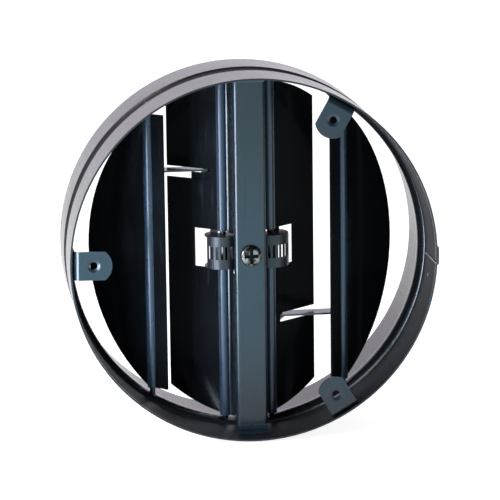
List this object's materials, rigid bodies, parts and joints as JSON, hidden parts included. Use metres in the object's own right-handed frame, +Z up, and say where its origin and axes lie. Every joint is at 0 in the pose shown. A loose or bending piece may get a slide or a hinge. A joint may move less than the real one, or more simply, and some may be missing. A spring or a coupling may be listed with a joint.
{
  "type": "round volume damper",
  "caption": "Round opposed-blade volume damper for a diffuser neck: a beaded sheet collar, swinging blades, and a screw-driven worm that opens and closes them together.",
  "frame": {"origin": "centre of the collar's front rim, on the duct axis", "axes": "+Y along the duct axis away from the front rim, +Z up along the centre bar, +X to the right seen from the front"},
  "size_m": [0.2008, 0.076, 0.2],
  "materials": {
    "black_enamel": "gloss black baked enamel",
    "slate_enamel": "satin blue-black baked enamel",
    "zinc_plate": "bright zinc plate",
    "brass_bush": "turned"
  },
  "bodies": {
    "housing": {"collar_ring": "black_enamel", "tab_left": "slate_enamel", "tab_upper": "slate_enamel", "tab_lower": "slate_enamel", "centre_bar": "slate_enamel", "worm_bracket": "black_enamel", "screw_bush": "brass_bush", "inner_hinge_rod_left": "black_enamel", "inner_hinge_rod_right": "black_enamel", "outer_hinge_rod_left": "black_enamel", "outer_hinge_rod_right": "black_enamel"},
    "adjuster": {"adjusting_screw": "zinc_plate", "worm": "zinc_plate", "retaining_ring": "zinc_plate"},
    "inner_blade_left": {"inner_blade_left": "black_enamel", "toothed_sector_left": "black_enamel", "link_pin_inner_left": "black_enamel"},
    "inner_blade_right": {"inner_blade_right": "black_enamel", "toothed_sector_right": "black_enamel", "link_pin_inner_right": "black_enamel"},
    "outer_blade_left": {"outer_blade_left": "black_enamel", "link_pin_outer_left": "black_enamel"},
    "outer_blade_right": {"outer_blade_right": "black_enamel", "link_pin_outer_right": "black_enamel"},
    "link_left": {"link_left": "black_enamel"},
    "link_right": {"link_right": "black_enamel"}
  },
  "joints": [
    {"name": "inner_blade_left_hinge", "type": "hinge", "parent": "housing", "child": "inner_blade_left", "pos_m": [-0.013, 0.036, 0], "axis": [0, 0, -1], "range_deg": [-39, 51]},
    {"name": "inner_blade_right_hinge", "type": "hinge", "parent": "housing", "child": "inner_blade_right", "pos_m": [0.013, 0.036, 0], "axis": [0, 0, 1], "range_deg": [-39, 51]},
    {"name": "outer_blade_left_hinge", "type": "hinge", "parent": "housing", "child": "outer_blade_left", "pos_m": [-0.0535, 0.036, 0], "axis": [0, 0, -1], "range_deg": [-39, 51]},
    {"name": "outer_blade_right_hinge", "type": "hinge", "parent": "housing", "child": "outer_blade_right", "pos_m": [0.0535, 0.036, 0], "axis": [0, 0, 1], "range_deg": [-39, 51]},
    {"name": "link_left_pivot", "type": "hinge", "parent": "outer_blade_left", "child": "link_left", "pos_m": [-0.05985, 0.05041, 0.0432], "axis": [0, 0, -1], "range_deg": [-51, 39]},
    {"name": "link_right_pivot", "type": "hinge", "parent": "outer_blade_right", "child": "link_right", "pos_m": [0.05985, 0.05041, -0.0409], "axis": [0, 0, 1], "range_deg": [-51, 39]},
    {"name": "adjusting_screw_turn", "type": "hinge", "parent": "housing", "child": "adjuster", "pos_m": [0, 0.036, 0], "axis": [0, 1, 0], "range_deg": [-975, 1275]}
  ],
  "couplings": [
    {"joint": "inner_blade_right_hinge", "follows": "inner_blade_left_hinge", "ratio": 1},
    {"joint": "outer_blade_left_hinge", "follows": "inner_blade_left_hinge", "ratio": 1},
    {"joint": "outer_blade_right_hinge", "follows": "inner_blade_left_hinge", "ratio": 1},
    {"joint": "link_left_pivot", "follows": "inner_blade_left_hinge", "ratio": -1},
    {"joint": "link_right_pivot", "follows": "inner_blade_left_hinge", "ratio": -1},
    {"joint": "adjusting_screw_turn", "follows": "inner_blade_left_hinge", "ratio": 25}
  ]
}
